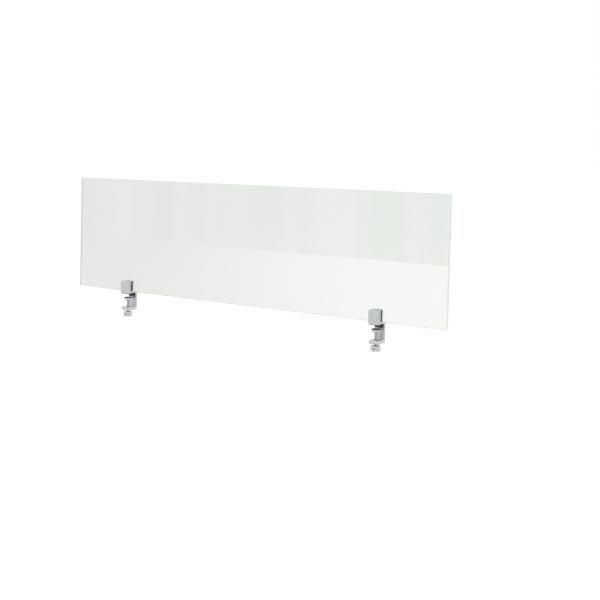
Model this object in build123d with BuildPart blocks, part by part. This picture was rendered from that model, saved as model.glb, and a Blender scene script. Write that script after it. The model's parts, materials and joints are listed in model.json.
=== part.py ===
from build123d import *

import os

# Desk privacy panel: a frameless glass screen held by two block clamps.
#
# Each clamp is a one-piece aluminium frame. Its upper half is an open slot that grips the bottom edge of the
# glass between a thick front jaw and a thin rear jaw. Its lower half is a C that hooks over the rear edge of a
# desk top. A grub screw in the front jaw drives a pressure plate against the glass, and a flat cover hides it.
# A knob-headed screw from below drives a swivel foot against the desk.
#
# Millimetres. X runs along the panel, +Y points away from the user, +Z is up. The origin is on the desk's rear
# top edge, half way between the clamps.

# Glass screen
panel_width = 1219.0
panel_height = 334.0
glass_thickness = 10.0
corner_radius = 2.0
arris = 0.8  # polished bevel along every glass edge

# Clamp block, seen above the desk
clamp_spacing = 831.0  # between the two clamp centres
clip_width = 28.6
clip_height = 38.0  # top of the clamp above the desk
clip_proud = 14.3  # from the glass to the front face of the clamp
cover_thickness = 2.5
stud_radius = 1.5
stud_length = 3.0
stud_spacing = 16.0
stud_z = 31.5
stud_gap = 0.02
jaw_clearance = 0.5  # from the front jaw to the glass
rear_jaw_thickness = 4.0
edge_break = 0.6  # small chamfer on the frame's edges and the M8 screw's shank

# Where the glass stands, measured from the desk's rear edge
glass_setback = 20.5  # front face of the glass to the desk's rear edge
pad_thickness = 1.5  # every rubber pad and gasket
setting_block_height = 1.0
gasket_lift = 1.0  # from the bottom edge of the glass to the gaskets and the pressure plate
pad_inset = 1.0  # from the frame's edge to the rubber desk pad
pad_corner = 1.0
desk_pad_corner = 2.0
setting_block_corner = 0.5
edge_pad_width = 24.0
edge_pad_height = 10.0
foot_pad_inset = 0.5
foot_pad_edge = 0.4

# Clamp frame
floor_thickness = 4.0
spine_thickness = 7.0
arm_thickness = 9.0
arm_top = -41.0  # upper face of the lower arm
arm_reach = 29.5  # front end of the lower arm, forward of the desk edge
slot_slack = 1.7  # free space behind the pressure plate for its travel
pocket_gap = 0.5  # around the pressure plate in its pocket
pocket_corner = 2.0
shoulder_radius = 4.0  # upper rear corner
jaw_root_radius = 2.0  # where the rear jaw stands on the base
heel_radius = 6.0  # lower rear corner
toe_radius = 3.0  # front end of the lower arm, underneath
lip_radius = 2.0  # front end of the lower arm, on top
throat_radius = 3.0  # inside corner of the C
running_gap = 0.05  # radial clearance between a screw and its tapped hole

# Pressure plate and grub screw (M6)
plate_thickness = 2.0
plate_width = 24.0
plate_height = 28.0
grip_radius = 3.0
grip_length = 6.1
dog_radius = 2.0
dog_length = 1.25
dog_seat_depth = 0.8
dog_seat_gap = 0.1  # around the point of the screw in its seat
dog_play = 0.05  # between the point of the screw and the bottom of its seat
grip_end_chamfer = 0.5
grip_hex = 3.0  # across the flats of the hex socket
grip_hex_depth = 3.0

# Desk screw (M8), swivel foot and knob, drawn for a 12 mm desk top
desk_thickness = 12.0
screw_radius = 4.0
screw_setback = 16.5  # screw axis to the desk's rear edge
foot_radius = 12.0
foot_height = 5.0
foot_cavity_radius = 5.4
foot_cavity_depth = 3.0
neck_radius = 3.0
neck_groove_radius = 2.2
neck_recess = 0.4  # end of the neck below the top of the foot
neck_chamfer = 0.5
foot_edge_radius = 1.0
clip_radius = 5.0
clip_thickness = 0.7
clip_opening = 2.6
clip_play = 0.05  # above, below and around the retaining clip
foot_play = 0.1  # between the foot and the shoulder of the screw
knob_radius = 13.0
knob_height = 14.0
knob_gap = 5.0  # knob to lower arm, free travel for a thinner desk
knob_bore_depth = 12.0
knob_bore_gap = 0.02
flute_count = 24
flute_radius = 1.3
flute_offset = 0.3  # centres of the flutes outside the knob's rim
knob_chamfer = 1.0
knob_grub_radius = 2.0
knob_grub_length = 6.0
knob_hex = 2.0
knob_hex_depth = 2.0

# Places that follow from the sizes above
glass_front = -glass_setback
glass_back = glass_front + glass_thickness
frame_front = glass_front - clip_proud
jaw_front = frame_front + cover_thickness
jaw_back = glass_front - jaw_clearance
plate_back = glass_front - pad_thickness
plate_front = plate_back - plate_thickness
pocket_floor = plate_front - slot_slack
slot_back = glass_back + pad_thickness
rear_jaw_back = slot_back + rear_jaw_thickness
spine_front = pad_thickness
spine_back = spine_front + spine_thickness
frame_bottom = pad_thickness
slot_floor = frame_bottom + floor_thickness
glass_bottom = slot_floor + setting_block_height
gasket_bottom = glass_bottom + gasket_lift
plate_middle = gasket_bottom + plate_height / 2
arm_bottom = arm_top - arm_thickness
foot_pad_bottom = -desk_thickness - pad_thickness
foot_bottom = foot_pad_bottom - foot_height
cavity_floor = foot_pad_bottom - foot_cavity_depth
shoulder_z = foot_bottom - foot_play
knob_top = arm_bottom - knob_gap
knob_bottom = knob_top - knob_height
screw_bottom = knob_top - knob_bore_depth
clip_bottom = cavity_floor + clip_play
neck_top = foot_pad_bottom - neck_recess
screw_y = -screw_setback
knob_grub_z = knob_top - knob_height / 2


def glass_panel():
    """Tempered glass sheet with eased corners and a polished arris on every edge."""
    with BuildPart() as glass:
        with BuildSketch(Plane.XZ.offset(-glass_back)):
            with Locations((0, glass_bottom + panel_height / 2)):
                RectangleRounded(panel_width, panel_height, corner_radius)
        extrude(amount=glass_thickness)
        chamfer(glass.faces().filter_by(Axis.Y).edges(), arris)
    return glass.part


rounded_corners = (
    ((rear_jaw_back, slot_floor), jaw_root_radius),
    ((spine_back, slot_floor), shoulder_radius),
    ((spine_back, arm_bottom), heel_radius),
    ((-arm_reach, arm_bottom), toe_radius),
    ((-arm_reach, arm_top), lip_radius),
    ((spine_front, arm_top), throat_radius),
)


def clamp_frame(center_x):
    """Slot for the glass above, C for the desk top below: one extrusion with a pocket and its holes."""
    with BuildPart() as frame:
        with BuildSketch(Plane.YZ.offset(center_x)) as profile:
            with BuildLine():
                Polyline(
                    (jaw_front, frame_bottom),
                    (jaw_front, clip_height),
                    (jaw_back, clip_height),
                    (jaw_back, slot_floor),
                    (slot_back, slot_floor),
                    (slot_back, clip_height),
                    (rear_jaw_back, clip_height),
                    (rear_jaw_back, slot_floor),
                    (spine_back, slot_floor),
                    (spine_back, arm_bottom),
                    (-arm_reach, arm_bottom),
                    (-arm_reach, arm_top),
                    (spine_front, arm_top),
                    (spine_front, frame_bottom),
                    close=True,
                )
            make_face()
            for corner, radius in rounded_corners:
                fillet(profile.vertices().sort_by_distance(corner)[0], radius)
        extrude(amount=clip_width / 2, both=True)
        chamfer(frame.faces().filter_by(Axis.X).edges(), edge_break)
        chamfer(frame.edges().filter_by(Axis.X).group_by(Axis.Z)[-1], edge_break)
        with BuildSketch(Plane.XZ.offset(-jaw_back)):
            with Locations((center_x, plate_middle)):
                RectangleRounded(plate_width + 2 * pocket_gap, plate_height + 2 * pocket_gap, pocket_corner)
        extrude(amount=jaw_back - pocket_floor, mode=Mode.SUBTRACT)
        with BuildSketch(Plane.XZ.offset(-pocket_floor)):
            with Locations((center_x, plate_middle)):
                Circle(grip_radius + running_gap)
        extrude(amount=pocket_floor - jaw_front, mode=Mode.SUBTRACT)
        with BuildSketch(Plane.XZ.offset(-jaw_front)):
            with Locations((center_x, stud_z)):
                with GridLocations(stud_spacing, 0, 2, 1):
                    Circle(stud_radius + stud_gap)
        extrude(amount=-(stud_length + stud_gap), mode=Mode.SUBTRACT)
        with Locations((center_x, screw_y, arm_top)):
            Hole(screw_radius + running_gap, depth=arm_thickness)
    return frame.part


def cover(center_x):
    """Flat front cover that hides the grub screw. Two studs on its back push into the front jaw."""
    with BuildPart() as plate:
        with BuildSketch(Plane.XZ.offset(-jaw_front)):
            with Locations((center_x, (frame_bottom + clip_height) / 2)):
                Rectangle(clip_width, clip_height - frame_bottom)
        extrude(amount=cover_thickness)
        chamfer(plate.faces().sort_by(Axis.Y)[0].edges(), edge_break)
        with BuildSketch(Plane.XZ.offset(-jaw_front)):
            with Locations((center_x, stud_z)):
                with GridLocations(stud_spacing, 0, 2, 1):
                    Circle(stud_radius)
        extrude(amount=-stud_length)
    return plate.part


def block(center_x, width, y_low, y_high, z_low, z_high, softening):
    """Flat rubber pad or gasket, with its four corners rounded."""
    middle = (center_x, (y_low + y_high) / 2, (z_low + z_high) / 2)
    with BuildPart() as pad:
        with Locations(middle):
            Box(width, y_high - y_low, z_high - z_low)
        thin_axis = Axis.Y if y_high - y_low < z_high - z_low else Axis.Z
        fillet(pad.edges().filter_by(thin_axis), softening)
    return pad.part


def front_gasket(center_x):
    """Rubber sheet bonded to the pressure plate."""
    gasket_top = gasket_bottom + plate_height
    return block(center_x, plate_width, plate_back, glass_front, gasket_bottom, gasket_top, pad_corner)


def rear_gasket(center_x):
    """Rubber sheet between the glass and the rear jaw."""
    gasket_top = gasket_bottom + plate_height
    return block(center_x, plate_width, glass_back, slot_back, gasket_bottom, gasket_top, pad_corner)


def setting_block(center_x):
    """Strip on the slot floor that carries the weight of the glass."""
    return block(
        center_x, plate_width, glass_front, glass_back, slot_floor, glass_bottom, setting_block_corner
    )


def desk_pad(center_x):
    """Rubber sheet between the frame and the top of the desk."""
    width = clip_width - 2 * pad_inset
    return block(center_x, width, frame_front + pad_inset, -pad_inset, 0, frame_bottom, desk_pad_corner)


def edge_pad(center_x):
    """Rubber strip between the spine and the rear edge of the desk."""
    pad_top = -pad_inset
    return block(center_x, edge_pad_width, 0, spine_front, pad_top - edge_pad_height, pad_top, pad_corner)


def foot_pad(center_x):
    """Rubber disc on top of the swivel foot."""
    with BuildPart() as pad:
        with BuildSketch(Plane.XY.offset(foot_pad_bottom)):
            with Locations((center_x, screw_y)):
                Circle(foot_radius - foot_pad_inset)
        extrude(amount=pad_thickness)
        fillet(pad.faces().sort_by(Axis.Z)[-1].edges(), foot_pad_edge)
    return pad.part


def pressure_plate(center_x):
    """Aluminium plate with a shallow seat for the point of the grub screw."""
    with BuildPart() as plate:
        with BuildSketch(Plane.XZ.offset(-plate_back)):
            with Locations((center_x, plate_middle)):
                RectangleRounded(plate_width, plate_height, pad_corner)
        extrude(amount=plate_thickness)
        with BuildSketch(Plane.XZ.offset(-plate_front)):
            with Locations((center_x, plate_middle)):
                Circle(dog_radius + dog_seat_gap)
        extrude(amount=-dog_seat_depth, mode=Mode.SUBTRACT)
    return plate.part


def grip_screw(center_x):
    """M6 socket grub screw with a dog point that pushes the pressure plate."""
    tip_y = plate_front + dog_seat_depth - dog_play
    shank_y = tip_y - dog_length
    with BuildPart() as grub:
        with BuildSketch(Plane.XZ.offset(-tip_y)):
            with Locations((center_x, plate_middle)):
                Circle(dog_radius)
        extrude(amount=dog_length)
        with BuildSketch(Plane.XZ.offset(-shank_y)):
            with Locations((center_x, plate_middle)):
                Circle(grip_radius)
        extrude(amount=grip_length)
        chamfer(grub.edges().filter_by(GeomType.CIRCLE).sort_by(Axis.Y)[0], grip_end_chamfer)
        with BuildSketch(Plane.XZ.offset(grip_length - shank_y)):
            with Locations((center_x, plate_middle)):
                RegularPolygon(grip_hex / 2, 6, major_radius=False)
        extrude(amount=-grip_hex_depth, mode=Mode.SUBTRACT)
    return grub.part


def clamp_screw(center_x):
    """M8 screw: threaded shank with a shoulder, and a grooved neck that passes through the swivel foot."""
    groove_bottom = clip_bottom - clip_play
    groove_top = clip_bottom + clip_thickness + clip_play
    with BuildPart() as screw:
        with BuildSketch(Plane.XZ.offset(-screw_y)):
            with BuildLine():
                Polyline(
                    (center_x, screw_bottom),
                    (center_x + screw_radius - edge_break, screw_bottom),
                    (center_x + screw_radius, screw_bottom + edge_break),
                    (center_x + screw_radius, shoulder_z - edge_break),
                    (center_x + screw_radius - edge_break, shoulder_z),
                    (center_x + neck_radius, shoulder_z),
                    (center_x + neck_radius, groove_bottom),
                    (center_x + neck_groove_radius, groove_bottom),
                    (center_x + neck_groove_radius, groove_top),
                    (center_x + neck_radius, groove_top),
                    (center_x + neck_radius, neck_top - neck_chamfer),
                    (center_x + neck_radius - neck_chamfer, neck_top),
                    (center_x, neck_top),
                    close=True,
                )
            make_face()
        revolve(axis=Axis((center_x, screw_y, 0), (0, 0, 1)))
    return screw.part


def foot_clip(center_x):
    """Retaining ring in the neck's groove: it keeps the foot on the screw and lets it swivel."""
    with BuildPart() as ring:
        with BuildSketch(Plane.XY.offset(clip_bottom)):
            with Locations((center_x, screw_y)):
                Circle(clip_radius)
                Circle(neck_groove_radius + clip_play, mode=Mode.SUBTRACT)
            with Locations((center_x, screw_y - clip_radius)):
                Rectangle(clip_opening, clip_radius * 2, mode=Mode.SUBTRACT)
        extrude(amount=clip_thickness)
    return ring.part


def swivel_foot(center_x):
    """Metal disc with a central hole for the neck and a cavity on top for the retaining ring."""
    with BuildPart() as foot:
        with BuildSketch(Plane.XY.offset(foot_bottom)):
            with Locations((center_x, screw_y)):
                Circle(foot_radius)
        extrude(amount=foot_height)
        fillet(foot.faces().sort_by(Axis.Z)[0].edges(), foot_edge_radius)
        with Locations((center_x, screw_y, foot_pad_bottom)):
            CounterBoreHole(neck_radius + running_gap, foot_cavity_radius, foot_cavity_depth, foot_height)
    return foot.part


def knob(center_x):
    """Fluted round knob with a blind bore for the screw and a tapped hole for its locking grub screw."""
    with BuildPart() as grip:
        with BuildSketch(Plane.XY.offset(knob_bottom)):
            with Locations((center_x, screw_y)):
                Circle(knob_radius)
        extrude(amount=knob_height)
        chamfer(grip.edges().filter_by(GeomType.CIRCLE), knob_chamfer)
        with Locations((center_x, screw_y, knob_bottom)):
            with PolarLocations(knob_radius + flute_offset, flute_count, start_angle=180 / flute_count):
                Cylinder(
                    flute_radius,
                    knob_height,
                    align=(Align.CENTER, Align.CENTER, Align.MIN),
                    mode=Mode.SUBTRACT,
                )
        with Locations((center_x, screw_y, knob_top)):
            Hole(screw_radius + knob_bore_gap, depth=knob_bore_depth)
        with BuildSketch(Plane.XZ.offset(-screw_y)):
            with Locations((center_x, knob_grub_z)):
                Circle(knob_grub_radius + knob_bore_gap)
        extrude(amount=knob_radius, mode=Mode.SUBTRACT)
    return grip.part


def knob_grub(center_x):
    """M4 socket grub screw that locks the knob to the screw, from the front."""
    inner_y = screw_y - screw_radius - running_gap
    with BuildPart() as grub:
        with BuildSketch(Plane.XZ.offset(-inner_y)):
            with Locations((center_x, knob_grub_z)):
                Circle(knob_grub_radius)
        extrude(amount=knob_grub_length)
        with BuildSketch(Plane.XZ.offset(knob_grub_length - inner_y)):
            with Locations((center_x, knob_grub_z)):
                RegularPolygon(knob_hex / 2, 6, major_radius=False)
        extrude(amount=-knob_hex_depth, mode=Mode.SUBTRACT)
    return grub.part


clamp_pieces = (
    clamp_frame,
    cover,
    front_gasket,
    rear_gasket,
    setting_block,
    pressure_plate,
    grip_screw,
    desk_pad,
    edge_pad,
    foot_pad,
    swivel_foot,
    foot_clip,
    clamp_screw,
    knob,
    knob_grub,
)


def write(piece, name):
    """Labels a finished piece and writes it as its own STEP file."""
    piece.label = name
    export_step(piece, f"parts/{name}.step")


os.makedirs("parts", exist_ok=True)
write(glass_panel(), "glass_panel")
for side, center_x in (("left", -clamp_spacing / 2), ("right", clamp_spacing / 2)):
    for make_piece in clamp_pieces:
        write(make_piece(center_x), f"{side}_{make_piece.__name__}")
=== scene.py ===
"""Looks of the desk privacy panel: glass, brushed clamps, threaded screws, rubber pads, studio and camera.

Metres, in the frame of the CAD model. X runs along the panel, +Y points away from the user, +Z is up, and the
origin is on the rear top edge of the desk that the clamps hold.
"""

import json
import math

import bmesh
import bpy
from mathutils import Matrix, Vector

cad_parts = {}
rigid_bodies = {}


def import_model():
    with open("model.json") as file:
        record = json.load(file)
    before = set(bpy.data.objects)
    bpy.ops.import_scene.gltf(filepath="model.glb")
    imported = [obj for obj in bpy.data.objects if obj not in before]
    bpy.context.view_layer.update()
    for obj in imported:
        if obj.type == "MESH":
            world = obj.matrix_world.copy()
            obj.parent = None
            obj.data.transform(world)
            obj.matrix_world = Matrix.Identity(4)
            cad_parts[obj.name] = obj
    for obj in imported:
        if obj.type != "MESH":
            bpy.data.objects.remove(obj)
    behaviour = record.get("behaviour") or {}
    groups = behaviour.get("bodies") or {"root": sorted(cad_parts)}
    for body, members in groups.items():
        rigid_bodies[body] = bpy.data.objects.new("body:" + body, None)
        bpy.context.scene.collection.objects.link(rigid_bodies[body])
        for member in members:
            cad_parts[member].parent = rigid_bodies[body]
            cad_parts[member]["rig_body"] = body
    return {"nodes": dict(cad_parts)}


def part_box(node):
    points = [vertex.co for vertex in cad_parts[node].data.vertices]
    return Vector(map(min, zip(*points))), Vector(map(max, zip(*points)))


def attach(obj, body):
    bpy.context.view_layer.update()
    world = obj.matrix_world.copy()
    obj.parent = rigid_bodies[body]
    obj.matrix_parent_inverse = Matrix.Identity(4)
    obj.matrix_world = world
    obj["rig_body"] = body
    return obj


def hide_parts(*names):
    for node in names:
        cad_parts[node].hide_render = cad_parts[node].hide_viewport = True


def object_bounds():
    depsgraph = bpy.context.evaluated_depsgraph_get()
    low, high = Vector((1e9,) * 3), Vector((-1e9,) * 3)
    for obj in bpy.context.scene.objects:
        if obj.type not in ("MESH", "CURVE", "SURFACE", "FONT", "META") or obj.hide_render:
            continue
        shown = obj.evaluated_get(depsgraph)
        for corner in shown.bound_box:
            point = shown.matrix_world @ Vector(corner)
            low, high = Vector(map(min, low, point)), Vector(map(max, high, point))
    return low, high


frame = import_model()
cad_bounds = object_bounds()

SIDES = ("left", "right")
MM = 0.001
FULL_TURN = 2 * math.pi

# Camera: it stands to the right of the panel, a little above it, and looks slightly down.
CAMERA_PLACE = (1.515, -2.212, 0.4255)
CAMERA_YAW = math.radians(31.34)  # the view turns this far from +Y towards -X
CAMERA_PITCH = math.radians(2.07)  # downwards
CAMERA_ROLL = math.radians(1.42)
CAMERA_LENS_MM = 57.9
CAMERA_SHIFT = -0.183  # the lens is shifted, which puts the panel above the middle of the picture

FLOOR_GAP = 0.0225  # the knobs travel down by 21 mm, so the floor lies below that
WHITE = (1.0, 1.0, 1.0, 1.0)

# Clearances and turned details of the screws, as in the CAD model
RING_PLAY = 0.05 * MM  # above and below the retaining ring in its groove
FOOT_PLAY = 0.1 * MM  # between the swivel foot and the shoulder that it stands on
NECK_RADIUS = 3.0 * MM
GROOVE_RADIUS = 2.2 * MM
NECK_BEVEL = 0.5 * MM
COLLAR_LENGTH = 2.2 * MM  # smooth length between the M8 thread and the shoulder
COLLAR_UNDERCUT = 0.15 * MM
COLLAR_BEVEL = 0.3 * MM


# ---------------------------------------------------------------- node tools


class Shader:
    """A material's node tree, with short calls to add and join nodes."""

    def __init__(self, tree):
        self.tree = tree
        tree.nodes.clear()

    def add(self, kind, settings=None, **inputs):
        """Adds a node. Settings are its properties, and inputs are sockets by name, with _ for a space."""
        node = self.tree.nodes.new(kind)
        for key, value in (settings or {}).items():
            setattr(node, key, value)
        for key, value in inputs.items():
            self.set(node.inputs[key.replace("_", " ")], value)
        return node

    def set(self, socket, value):
        """Joins a node's output to a socket, or writes a plain value to it."""
        if isinstance(value, bpy.types.NodeSocket):
            self.tree.links.new(value, socket)
        elif isinstance(value, bpy.types.Node):
            self.tree.links.new(value.outputs[0], socket)
        else:
            socket.default_value = value

    def math(self, operation, *values, clamp=False):
        """A math node over one to three values."""
        node = self.add("ShaderNodeMath", {"operation": operation, "use_clamp": clamp})
        for socket, value in zip(node.inputs, values):
            self.set(socket, value)
        return node.outputs[0]

    def vector(self, operation, *values):
        """A vector math node, which gives a vector."""
        node = self.add("ShaderNodeVectorMath", {"operation": operation})
        for socket, value in zip(node.inputs, values):
            self.set(socket, value)
        return node

    def span(self, value, low, high, to_low=0.0, to_high=1.0):
        """Maps low..high to to_low..to_high with soft ends, and clamps it."""
        node = self.add("ShaderNodeMapRange", {"interpolation_type": "SMOOTHSTEP"})
        for socket, number in zip(node.inputs, (value, low, high, to_low, to_high)):
            self.set(socket, number)
        return node.outputs[0]

    def mix(self, share, first, second):
        """Mixes two colours."""
        node = self.add("ShaderNodeMix", {"data_type": "RGBA"})
        self.set(node.inputs[0], share)
        self.set(node.inputs[6], first)
        self.set(node.inputs[7], second)
        return node.outputs[2]

    def blend(self, share, first, second):
        """Mixes two shaders."""
        node = self.add("ShaderNodeMixShader")
        for socket, value in zip(node.inputs, (share, first, second)):
            self.set(socket, value)
        return node

    def noise(self, vector, scale, detail=4.0, roughness=0.55):
        """Fractal noise, from 0 to 1."""
        node = self.add("ShaderNodeTexNoise", Vector=vector, Scale=scale, Detail=detail, Roughness=roughness)
        return node.outputs[0]

    def stretched(self, vector, scale):
        """Coordinates scaled by axis, in features per metre."""
        return self.vector("MULTIPLY", vector, scale).outputs[0]

    def bump(self, height, distance, strength=1.0, normal=None):
        """A bump normal. Distance is the height in metres that a value of 1 stands for."""
        node = self.add("ShaderNodeBump", Height=height, Distance=distance, Strength=strength)
        if normal is not None:
            self.set(node.inputs["Normal"], normal)
        return node.outputs[0]

    def edges(self, radius):
        """1 on the worn outside edges of a solid, 0 on its flat faces."""
        rounded = self.add("ShaderNodeBevel", {"samples": 6}, Radius=radius)
        flat = self.add("ShaderNodeNewGeometry").outputs["Normal"]
        agreement = self.vector("DOT_PRODUCT", rounded.outputs[0], flat).outputs["Value"]
        return self.span(agreement, 0.995, 0.86)


def colour(red, green, blue):
    """An opaque linear colour."""
    return (red, green, blue, 1.0)


def new_material(name):
    """An empty material, its shader tools, its Principled node and its object coordinates."""
    material = bpy.data.materials.new(name)
    material.use_nodes = True
    shader = Shader(material.node_tree)
    surface = shader.add("ShaderNodeBsdfPrincipled")
    output = shader.add("ShaderNodeOutputMaterial", Surface=surface)
    place = shader.add("ShaderNodeTexCoord").outputs["Object"]
    return material, shader, surface, output, place


def clamp_coordinates(shader, place, centre):
    """Coordinates about a point that both clamps have, mirrored about the middle of the panel."""
    parts = shader.add("ShaderNodeSeparateXYZ", Vector=place)
    mirrored = shader.math("ABSOLUTE", parts.outputs[0])
    joined = shader.add("ShaderNodeCombineXYZ", X=mirrored, Y=parts.outputs[1], Z=parts.outputs[2])
    return shader.vector("SUBTRACT", joined, (abs(centre[0]), centre[1], centre[2])).outputs[0]


# ---------------------------------------------------------------- materials


def glass_material():
    """Tempered glass with a faint grey-green body, roller waves and light dust. Its edges are ground matt."""
    material, shader, surface, output, place = new_material("tempered_glass")
    waves = shader.noise(shader.stretched(place, (3.0, 1.0, 0.8)), 2.0, detail=1.0)
    smudges = shader.noise(place, 9.0, detail=3.0)
    specks = shader.noise(place, 900.0, detail=1.0)
    dust = shader.math("MULTIPLY", shader.span(smudges, 0.45, 0.75), shader.span(specks, 0.55, 0.75))
    clean, dusty = colour(0.790, 0.804, 0.780), colour(0.765, 0.780, 0.760)
    shader.set(surface.inputs["Base Color"], shader.mix(dust, clean, dusty))
    shader.set(surface.inputs["Transmission Weight"], 1.0)
    shader.set(surface.inputs["IOR"], 1.52)
    shader.set(surface.inputs["Roughness"], 0.0)
    shader.set(surface.inputs["Normal"], shader.bump(waves, 0.4 * MM, 0.15))

    # the faces look along Y, and everything else is a ground edge
    normal = shader.add("ShaderNodeNewGeometry").outputs["True Normal"]
    along_y = shader.vector("DOT_PRODUCT", normal, (0.0, 1.0, 0.0)).outputs["Value"]
    edge = shader.span(shader.math("ABSOLUTE", along_y), 0.98, 0.90)
    grinding = shader.noise(shader.stretched(place, (60.0, 3000.0, 60.0)), 1.0, detail=4.0)
    edge_tint = shader.mix(grinding, colour(0.66, 0.71, 0.68), colour(0.80, 0.83, 0.81))
    ground = shader.add("ShaderNodeBsdfPrincipled", Base_Color=edge_tint, Roughness=0.45)
    shader.set(ground.inputs["Normal"], shader.bump(grinding, 0.02 * MM, 0.5))
    through = shader.add("ShaderNodeBsdfTranslucent", Color=edge_tint)
    frosted = shader.blend(0.5, ground, through)
    faces_and_edges = shader.blend(edge, surface, frosted)

    # light that reaches the floor through the glass
    shadow_tint = shader.add("ShaderNodeBsdfTransparent", Color=colour(0.86, 0.90, 0.87))
    ray = shader.add("ShaderNodeLightPath")
    glass = shader.blend(ray.outputs["Is Shadow Ray"], faces_and_edges, shadow_tint)
    shader.set(output.inputs["Surface"], glass)

    # the body absorbs red and blue a little more than green, which shows along the edges
    body = shader.add("ShaderNodeVolumeAbsorption", Color=colour(0.40, 0.75, 0.45), Density=1.6)
    shader.set(output.inputs["Volume"], body)
    return material


def satin_material(name, tint, grain, brightness=1.0):
    """Brushed and clear-anodised aluminium. Grain gives the features per metre along X, Y and Z."""
    material, shader, surface, _, place = new_material(name)
    lines = shader.noise(shader.stretched(place, grain), 1.0, detail=6.0, roughness=0.7)
    streaks = shader.noise(shader.stretched(place, [axis / 9 for axis in grain]), 1.0, detail=3.0)
    handling = shader.noise(place, 160.0, detail=5.0)
    wear = shader.math("MULTIPLY", shader.edges(0.5 * MM), shader.span(handling, 0.3, 0.6, 0.45, 1.0))
    dark, light = (colour(*(c * brightness * k for c in tint)) for k in (0.88, 1.06))
    streaked = shader.math("MULTIPLY_ADD", lines, 0.4, shader.math("MULTIPLY", streaks, 0.6))
    body = shader.mix(shader.span(streaked, 0.25, 0.75), dark, light)
    shader.set(surface.inputs["Base Color"], shader.mix(wear, body, colour(0.86, 0.87, 0.88)))
    shader.set(surface.inputs["Metallic"], 1.0)
    satin = shader.span(lines, 0.3, 0.7, 0.30, 0.44)
    polish = shader.math("MULTIPLY", wear, 0.12)
    shader.set(surface.inputs["Roughness"], shader.math("SUBTRACT", satin, polish))
    shader.set(surface.inputs["Anisotropic"], 0.6)
    tangent = shader.add("ShaderNodeTangent", {"direction_type": "RADIAL", "axis": "Z"})
    shader.set(surface.inputs["Tangent"], tangent)
    shader.set(surface.inputs["Normal"], shader.bump(lines, 0.02 * MM, 0.5))
    return material


def turned_material(name, tint, centre, rough=(0.22, 0.38)):
    """Metal turned on a lathe about an upright axis that both clamps have: fine rings on every face."""
    material, shader, surface, _, place = new_material(name)
    local = clamp_coordinates(shader, place, centre)
    parts = shader.add("ShaderNodeSeparateXYZ", Vector=local)
    flat = shader.add("ShaderNodeCombineXYZ", X=parts.outputs[0], Y=parts.outputs[1])
    radius = shader.vector("LENGTH", flat).outputs["Value"]
    along = shader.add("ShaderNodeCombineXYZ", X=radius, Y=parts.outputs[2])
    rings = shader.noise(shader.stretched(along, (5200.0, 5200.0, 0.0)), 1.0, detail=3.0, roughness=0.7)
    stains = shader.noise(place, 220.0, detail=5.0)
    wear = shader.math("MULTIPLY", shader.edges(0.35 * MM), shader.span(stains, 0.35, 0.6, 0.5, 1.0))
    dark, light = (colour(*(c * k for c in tint)) for k in (0.84, 1.05))
    mottled = shader.math("MULTIPLY_ADD", rings, 0.6, shader.math("MULTIPLY", stains, 0.4))
    body = shader.mix(mottled, dark, light)
    shader.set(surface.inputs["Base Color"], shader.mix(wear, body, colour(0.88, 0.88, 0.88)))
    shader.set(surface.inputs["Metallic"], 1.0)
    shader.set(surface.inputs["Roughness"], shader.span(rings, 0.3, 0.7, *rough))
    shader.set(surface.inputs["Normal"], shader.bump(rings, 0.02 * MM, 0.6))
    return material


def oxide_material():
    """Blackened steel: dark, slightly oily, with bright metal where the edges have rubbed."""
    material, shader, surface, _, place = new_material("black_oxide_steel")
    mottle = shader.noise(place, 1500.0, detail=5.0)
    patches = shader.noise(place, 260.0, detail=3.0)
    wear = shader.math("MULTIPLY", shader.edges(0.2 * MM), shader.span(patches, 0.4, 0.65, 0.2, 0.9))
    body = shader.mix(mottle, colour(0.055, 0.055, 0.06), colour(0.13, 0.13, 0.14))
    shader.set(surface.inputs["Base Color"], shader.mix(wear, body, colour(0.45, 0.44, 0.43)))
    shader.set(surface.inputs["Metallic"], 1.0)
    shader.set(surface.inputs["Roughness"], shader.span(mottle, 0.3, 0.7, 0.32, 0.52))
    shader.set(surface.inputs["Normal"], shader.bump(mottle, 0.015 * MM, 0.4))
    return material


def rubber_material():
    """Matt black moulded rubber with a fine grain, a little bloom and rubbed edges."""
    material, shader, surface, _, place = new_material("black_rubber")
    grain = shader.noise(place, 4200.0, detail=3.0)
    bloom = shader.noise(place, 120.0, detail=5.0)
    rubbed = shader.edges(0.35 * MM)
    body = shader.mix(shader.span(bloom, 0.4, 0.7), colour(0.045, 0.045, 0.047), colour(0.075, 0.075, 0.077))
    shader.set(surface.inputs["Base Color"], shader.mix(rubbed, body, colour(0.11, 0.11, 0.112)))
    shader.set(surface.inputs["Roughness"], shader.span(grain, 0.3, 0.7, 0.62, 0.85))
    shader.set(surface.inputs["Sheen Weight"], 0.15)
    shader.set(surface.inputs["Normal"], shader.bump(grain, 0.03 * MM, 0.5))
    return material


# ---------------------------------------------------------------- geometry


def circle(radius, height, count):
    """One ring of points round the local Z axis."""
    angles = (FULL_TURN * k / count for k in range(count))
    return [(radius * math.cos(a), radius * math.sin(a), height) for a in angles]


def hexagon(flats, height, count):
    """A ring of points on a regular hexagon. Count is a multiple of 6, so that its corners are kept."""
    points = []
    for k in range(count):
        angle = FULL_TURN * k / count
        radius = flats / 2 / math.cos(angle % (FULL_TURN / 6) - FULL_TURN / 12)
        points.append((radius * math.cos(angle), radius * math.sin(angle), height))
    return points


def rounded_rectangle(width, depth, corner, height, corner_steps=6):
    """A ring of points round a rectangle with rounded corners."""
    points = []
    for quarter in range(4):
        across = (width / 2 - corner) * (1 if quarter in (0, 3) else -1)
        along = (depth / 2 - corner) * (1 if quarter in (0, 1) else -1)
        for step in range(corner_steps + 1):
            angle = (quarter + step / corner_steps) * FULL_TURN / 4
            points.append((across + corner * math.cos(angle), along + corner * math.sin(angle), height))
    return points


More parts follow.
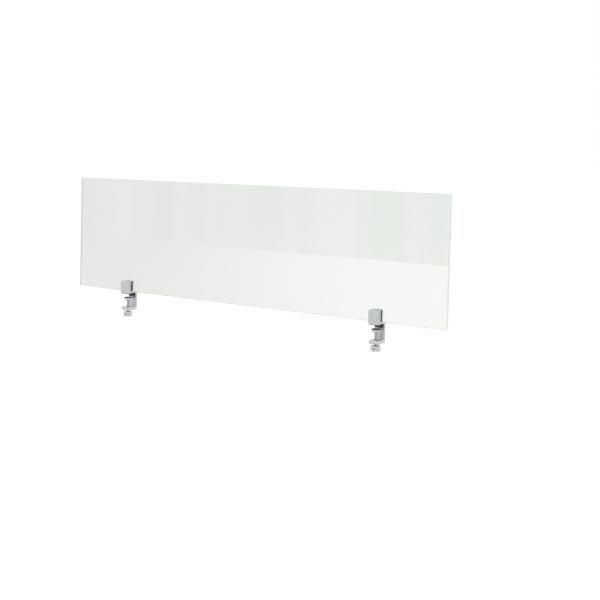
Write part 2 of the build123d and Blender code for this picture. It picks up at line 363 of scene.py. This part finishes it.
def loft(rings, place, hollow=False):
    """A closed mesh through rings of equal length: capped at both ends, or joined end to end when hollow."""
    mesh = bmesh.new()
    rows = [[mesh.verts.new(place @ Vector(point)) for point in ring] for ring in rings]
    pairs = list(zip(rows, rows[1:]))
    if hollow:
        pairs.append((rows[-1], rows[0]))
    else:
        mesh.faces.new(reversed(rows[0]))
        mesh.faces.new(rows[-1])
    for low, high in pairs:
        for k in range(len(low)):
            following = (k + 1) % len(low)
            mesh.faces.new((low[k], low[following], high[following], high[k]))
    bmesh.ops.recalc_face_normals(mesh, faces=mesh.faces)
    return mesh


def stand_for(node, mesh, material, sharp=35.0):
    """Shows a finished mesh in place of a CAD node, on the same body, with the given material."""
    data = bpy.data.meshes.new(node + "_look")
    mesh.to_mesh(data)
    mesh.free()
    data.polygons.foreach_set("use_smooth", [True] * len(data.polygons))
    data.set_sharp_from_angle(angle=math.radians(sharp))
    data.materials.append(material)
    piece = bpy.data.objects.new(node + "_look", data)
    bpy.context.scene.collection.objects.link(piece)
    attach(piece, frame["nodes"][node]["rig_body"])
    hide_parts(node)


def dress(node, material, sharp=30.0):
    """Gives a carried-over CAD node its material, with smooth shading on its round faces."""
    data = frame["nodes"][node].data
    data.materials.clear()
    data.materials.append(material)
    data.polygons.foreach_set("use_smooth", [True] * len(data.polygons))
    data.set_sharp_from_angle(angle=math.radians(sharp))


def middle_and_size(node):
    """The centre and the size of a CAD node at rest."""
    low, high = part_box(node)
    return (low + high) / 2, high - low


# ---------------------------------------------------------------- rubber

LOCAL_Z_TO_Y = Matrix.Rotation(-FULL_TURN / 4, 4, "X")
LOCAL_UPSIDE_DOWN = Matrix.Rotation(FULL_TURN / 2, 4, "X")
DISC_SIDES = 96


def pad_profile(thickness, rim, rib_count):
    """(inset, height) from the middle of the ribbed underside, round the rim, to the plain top side."""
    groove_depth = 0.35 * MM
    groove_width = 0.9 * MM
    slope = 0.2 * MM
    margin = 1.0 * MM
    rib_spacing = 2.1 * MM
    rim_steps = 8
    low = -thickness / 2
    profile = []
    for rib in reversed(range(rib_count)):
        outer = rim + margin + rib * rib_spacing
        inner = outer + groove_width
        profile += [(inner, low), (inner - slope, low + groove_depth)]
        profile += [(outer + slope, low + groove_depth), (outer, low)]
    for step in range(rim_steps + 1):
        angle = FULL_TURN / 2 * step / rim_steps
        side = 1 if step > rim_steps / 2 else -1
        height = side * (thickness / 2 - rim) - rim * math.cos(angle)
        profile.append((rim * (1 - math.sin(angle)), height))
    return profile


def rubber_sheet(node, material, turn, rib_count=0, corner=1.5 * MM, rim=0.4 * MM):
    """A moulded rectangular pad with a rounded rim. Turn places its local -Z on the contact face."""
    centre, size = middle_and_size(node)
    local = turn.inverted().to_3x3() @ size
    width, depth, thickness = (abs(value) for value in local)
    rings = []
    for inset, height in pad_profile(thickness, min(rim, thickness / 2), rib_count):
        rounding = max(corner - inset, 0.25 * MM)
        rings.append(rounded_rectangle(width - 2 * inset, depth - 2 * inset, rounding, height))
    stand_for(node, loft(rings, Matrix.Translation(centre) @ turn), material)


def rubber_disc(node, material, turn):
    """A round moulded pad with concentric ribs on its contact face."""
    centre, size = middle_and_size(node)
    profile = pad_profile(size.z, 0.4 * MM, 4)
    rings = [circle(size.x / 2 - inset, height, DISC_SIDES) for inset, height in profile]
    stand_for(node, loft(rings, Matrix.Translation(centre) @ turn), material)


# ---------------------------------------------------------------- screws

M8_PITCH = 1.25 * MM
M6_PITCH = 1.0 * MM
M4_PITCH = 0.7 * MM
THREAD_DEPTH = 0.6134  # of the pitch, for a 60 degree metric thread
CREST_HALF = 1 / 16  # of the pitch, half of the flat crest
FLANK = 5 / 16  # of the pitch, along one flank
ROWS_PER_PITCH = 14
SCREW_SIDES = 64  # points round the M8 screw
GRUB_SIDES = 48  # points round a grub screw, a multiple of 6 for its socket


def thread_ring(major, pitch, height, limit, count):
    """One ring of points on a right-hand thread. Limit is the largest radius, and shapes the screw's ends."""
    points = []
    for k in range(count):
        angle = FULL_TURN * k / count
        from_crest = abs((height / pitch - angle / FULL_TURN) % 1 - 0.5)
        share = min(max((from_crest - CREST_HALF) / FLANK, 0.0), 1.0)
        radius = min(major - THREAD_DEPTH * pitch * share, limit)
        points.append((radius * math.cos(angle), radius * math.sin(angle), height))
    return points


def thread(major, pitch, low, high, chamfer, count):
    """Rings of a threaded length from low to high, with its ends turned down to the root."""
    root = major - THREAD_DEPTH * pitch
    rows = max(2, round((high - low) / pitch * ROWS_PER_PITCH))
    rings = []
    for row in range(rows + 1):
        height = low + (high - low) * row / rows
        from_end = min(height - low, high - height)
        limit = root + (major - root) * min(from_end / chamfer, 1.0)
        rings.append(thread_ring(major, pitch, height, limit, count))
    return rings


def socket(flats, face, depth, count):
    """Rings of a hexagon socket cut upwards from a screw's lower face, from its bottom out to the face."""
    mouth = flats / math.sqrt(3) + 0.15 * MM
    return [
        hexagon(flats, face + depth, count),
        hexagon(flats, face + 0.2 * MM, count),
        circle(mouth, face, count),
    ]


def clamp_screw(node, material):
    """M8 screw with a bare shoulder and a grooved neck on top, which the swivel foot turns on."""
    centre, size = middle_and_size(node)
    low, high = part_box(node)
    foot_low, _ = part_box(node.replace("clamp_screw", "swivel_foot"))
    ring_low, ring_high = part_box(node.replace("clamp_screw", "foot_clip"))
    major = size.x / 2
    shoulder = foot_low.z - FOOT_PLAY
    collar_low = shoulder - COLLAR_LENGTH
    collar_radius = major - COLLAR_UNDERCUT
    groove_low = ring_low.z - RING_PLAY
    groove_high = ring_high.z + RING_PLAY
    rings = thread(major, M8_PITCH, low.z, collar_low, 0.8 * MM, SCREW_SIDES)
    turned = (
        (collar_radius, collar_low + 0.5 * MM),
        (collar_radius, shoulder - COLLAR_BEVEL),
        (collar_radius - COLLAR_BEVEL, shoulder),
        (NECK_RADIUS, shoulder),
        (NECK_RADIUS, groove_low),
        (GROOVE_RADIUS, groove_low),
        (GROOVE_RADIUS, groove_high),
        (NECK_RADIUS, groove_high),
        (NECK_RADIUS, high.z - NECK_BEVEL),
        (NECK_RADIUS - NECK_BEVEL, high.z),
    )
    rings += [circle(radius, height, SCREW_SIDES) for radius, height in turned]
    place = Matrix.Translation((centre.x, centre.y, 0))
    stand_for(node, loft(rings, place), material)


def socket_screw(node, material, pitch, flats, depth, dog_radius=0.0, dog_length=0.0):
    """Headless screw along Y with a hexagon socket in its front end, and a dog point or a plain far end."""
    centre, size = middle_and_size(node)
    length = max(size)
    major = min(size) / 2
    body_end = length - dog_length
    tip_bevel = 0.2 * MM
    rings = socket(flats, 0.0, depth, GRUB_SIDES)
    rings += thread(major, pitch, 0.0, body_end, 0.45 * MM, GRUB_SIDES)
    if dog_length:
        rings.append(circle(dog_radius, body_end, GRUB_SIDES))
        rings.append(circle(dog_radius, length - tip_bevel, GRUB_SIDES))
        rings.append(circle(dog_radius - tip_bevel, length, GRUB_SIDES))
    front = centre - Vector((0, length / 2, 0))
    stand_for(node, loft(rings, Matrix.Translation(front) @ LOCAL_Z_TO_Y), material)


def grip_screw(node, material):
    """M6 grub screw with a dog point that pushes the pressure plate."""
    socket_screw(node, material, M6_PITCH, 3.0 * MM, 3.0 * MM, dog_radius=2.0 * MM, dog_length=1.25 * MM)


def knob_grub(node, material):
    """M4 grub screw that locks the knob to its screw."""
    socket_screw(node, material, M4_PITCH, 2.0 * MM, 2.0 * MM)


# ---------------------------------------------------------------- studio


LIGHTS_AIM = (0.0, 0.0, 0.1)
FLOOR_REACH = 60.0
CARD_HALF_WIDTH = 12.0
CARD_FRONT = -2.16  # sets how high on the glass the apron's reflection ends
CARD_BACK = -0.1
CARD_HEIGHT = 6.0
CARD_LIFT = 0.5 * MM  # of the apron above the floor


def area_light(name, place, size, power):
    """A white softbox that faces the panel."""
    data = bpy.data.lights.new(name, "AREA")
    data.shape = "RECTANGLE"
    data.size, data.size_y = size
    data.energy = power
    lamp = bpy.data.objects.new(name, data)
    lamp.location = place
    lamp.rotation_euler = (Vector(LIGHTS_AIM) - Vector(place)).to_track_quat("-Z", "Y").to_euler()
    bpy.context.scene.collection.objects.link(lamp)


def stage_plane(name, corners, material):
    """A flat stage piece through four corners."""
    mesh = bmesh.new()
    mesh.faces.new([mesh.verts.new(corner) for corner in corners])
    data = bpy.data.meshes.new(name)
    mesh.to_mesh(data)
    mesh.free()
    data.materials.append(material)
    piece = bpy.data.objects.new(name, data)
    bpy.context.scene.collection.objects.link(piece)
    return piece


def floor_material():
    """Plain pale floor with a glow of its own, which keeps it near white and its shadows faint."""
    material, shader, surface, _, place = new_material("pale_floor")
    cloud = shader.noise(place, 0.7, detail=2.0)
    matt = shader.mix(cloud, colour(0.13, 0.13, 0.13), colour(0.14, 0.14, 0.14))
    shader.set(surface.inputs["Base Color"], matt)
    shader.set(surface.inputs["Emission Color"], WHITE)
    shader.set(surface.inputs["Emission Strength"], 0.86)
    shader.set(surface.inputs["Roughness"], 0.9)
    shader.set(surface.inputs["Specular IOR Level"], 0.1)
    return material


def seen_along_glass(shader, place):
    """For a point in front of the glass, the X at which the camera sees it mirrored in the glass."""
    low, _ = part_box("glass_panel")
    distance = low.y - CAMERA_PLACE[1]
    parts = shader.add("ShaderNodeSeparateXYZ", Vector=place)
    sideways = shader.math("SUBTRACT", parts.outputs[0], CAMERA_PLACE[0])
    behind = shader.math("SUBTRACT", low.y + distance, parts.outputs[1])
    slope = shader.math("DIVIDE", sideways, behind)
    return shader.math("MULTIPLY_ADD", slope, distance, CAMERA_PLACE[0])


def card_material(reach, strengths, banding, shade):
    """Studio card. The glass, which mirrors sharply, sees it change along the panel, over a reach of X,
    between two strengths, with soft upright bands. Satin metal sees an even grey card."""
    material = bpy.data.materials.new("studio_card")
    material.use_nodes = True
    shader = Shader(material.node_tree)
    along = seen_along_glass(shader, shader.add("ShaderNodeTexCoord").outputs["Object"])
    across = shader.span(along, *reach, *strengths)
    bands = shader.noise(shader.add("ShaderNodeCombineXYZ", X=along), 5.5, detail=2.0)
    banded = shader.math("ADD", across, shader.span(bands, 0.36, 0.64, -banding, banding))
    tint = shader.mix(shader.span(bands, 0.36, 0.64), shade, WHITE)
    mirrored = shader.add("ShaderNodeEmission", Color=tint, Strength=banded)
    even = shader.add("ShaderNodeEmission", Color=WHITE, Strength=0.92)
    sharp = shader.add("ShaderNodeLightPath").outputs["Is Singular Ray"]
    shader.add("ShaderNodeOutputMaterial", Surface=shader.blend(sharp, even, mirrored))
    return material


def make_world():
    """White surroundings for the camera and for soft light, and a darker studio for reflections."""
    world = bpy.data.worlds.new("studio")
    world.use_nodes = True
    bpy.context.scene.world = world
    shader = Shader(world.node_tree)
    direction = shader.add("ShaderNodeTexCoord").outputs["Generated"]
    parts = shader.add("ShaderNodeSeparateXYZ", Vector=direction)
    height = shader.span(parts.outputs[2], -0.05, 0.55, 0.35, 1.0)
    ray = shader.add("ShaderNodeLightPath")
    reflected = shader.add("ShaderNodeBackground", Color=WHITE, Strength=height)
    soft = shader.add("ShaderNodeBackground", Color=WHITE, Strength=1.12)
    seen = shader.add("ShaderNodeBackground", Color=WHITE, Strength=1.0)
    lit_and_reflected = shader.blend(ray.outputs["Is Glossy Ray"], soft, reflected)
    straight = shader.math("MAXIMUM", ray.outputs["Is Camera Ray"], ray.outputs["Is Transmission Ray"])
    shader.add("ShaderNodeOutputWorld", Surface=shader.blend(straight, lit_and_reflected, seen))


def reflection_card(name, corners, *look):
    """A stage piece that lights nothing and that only reflections see."""
    card = stage_plane(name, corners, card_material(*look))
    card.visible_camera = False
    card.visible_diffuse = False
    card.visible_transmission = False
    card.visible_shadow = False


def make_stage():
    """Floor, two reflection cards and softboxes."""
    low, _ = cad_bounds
    level = low[2] - FLOOR_GAP
    reach = FLOOR_REACH
    corners = [(-reach, -reach, level), (reach, -reach, level), (reach, reach, level), (-reach, reach, level)]
    stage_plane("floor", corners, floor_material())

    wide, front, back, tall = CARD_HALF_WIDTH, CARD_FRONT, CARD_BACK, CARD_HEIGHT
    wall = [(-wide, front, level), (wide, front, level), (wide, front, tall), (-wide, front, tall)]
    reflection_card("reflection_wall", wall, (-0.5, 0.5), (0.35, 1.0), 0.30, colour(0.74, 1.0, 0.80))
    lifted = level + CARD_LIFT
    apron = [(-wide, front, lifted), (wide, front, lifted), (wide, back, lifted), (-wide, back, lifted)]
    reflection_card("reflection_apron", apron, (-0.45, 0.52), (0.25, 2.8), 0.0, WHITE)

    area_light("key", (-1.6, -1.9, 2.4), (1.4, 1.0), 22.0)
    area_light("fill", (2.2, -1.2, 1.4), (1.2, 1.2), 6.0)
    area_light("back", (0.6, 2.4, 1.8), (2.0, 0.8), 10.0)


def make_camera():
    """A camera at the place and angle given at the top, with a shifted lens."""
    level = Vector((-math.sin(CAMERA_YAW), math.cos(CAMERA_YAW), 0.0))
    toward = level * math.cos(CAMERA_PITCH) - Vector((0.0, 0.0, math.sin(CAMERA_PITCH)))
    right = Vector((math.cos(CAMERA_YAW), math.sin(CAMERA_YAW), 0.0))
    up = right.cross(toward)
    rolled_right = right * math.cos(CAMERA_ROLL) + up * math.sin(CAMERA_ROLL)
    rolled_up = up * math.cos(CAMERA_ROLL) - right * math.sin(CAMERA_ROLL)
    axes = Matrix((rolled_right, rolled_up, -toward)).transposed()
    data = bpy.data.cameras.new("camera")
    data.sensor_width = 36.0
    data.lens = CAMERA_LENS_MM
    data.shift_y = CAMERA_SHIFT
    data.clip_start, data.clip_end = 0.05, 200.0
    camera = bpy.data.objects.new("camera", data)
    camera.matrix_world = Matrix.Translation(CAMERA_PLACE) @ axes.to_4x4()
    bpy.context.scene.collection.objects.link(camera)
    bpy.context.scene.camera = camera


# ---------------------------------------------------------------- assembly


def build_object():
    """Dresses every CAD node, or shows a finer piece in its place."""
    screw_centre, _ = middle_and_size("right_clamp_screw")
    aluminium = (0.60, 0.615, 0.625)
    satin = satin_material("satin_aluminium", aluminium, (2600.0, 2600.0, 60.0))
    plate = satin_material("plate_aluminium", aluminium, (60.0, 2600.0, 2600.0), 0.9)
    knob_metal = turned_material("turned_aluminium", (0.66, 0.67, 0.68), screw_centre)
    zinc = turned_material("zinc_steel", (0.56, 0.58, 0.61), screw_centre, (0.18, 0.34))
    oxide = oxide_material()
    rubber = rubber_material()

    dress("glass_panel", glass_material())
    for side in SIDES:
        dress(side + "_clamp_frame", satin)
        dress(side + "_cover", satin)
        dress(side + "_pressure_plate", plate)
        dress(side + "_knob", knob_metal)
        dress(side + "_swivel_foot", zinc)
        dress(side + "_foot_clip", oxide)
        rubber_sheet(side + "_front_gasket", rubber, LOCAL_Z_TO_Y)
        rubber_sheet(side + "_rear_gasket", rubber, LOCAL_Z_TO_Y)
        rubber_sheet(side + "_edge_pad", rubber, LOCAL_Z_TO_Y, rib_count=1)
        rubber_sheet(side + "_setting_block", rubber, Matrix.Identity(4), corner=0.6 * MM, rim=0.3 * MM)
        rubber_sheet(side + "_desk_pad", rubber, Matrix.Identity(4), rib_count=5, corner=2.5 * MM)
        rubber_disc(side + "_foot_pad", rubber, LOCAL_UPSIDE_DOWN)
        clamp_screw(side + "_clamp_screw", zinc)
        grip_screw(side + "_grip_screw", oxide)
        knob_grub(side + "_knob_grub", oxide)


build_object()
make_world()
make_stage()
make_camera()
bpy.context.scene.view_settings.view_transform = "Standard"
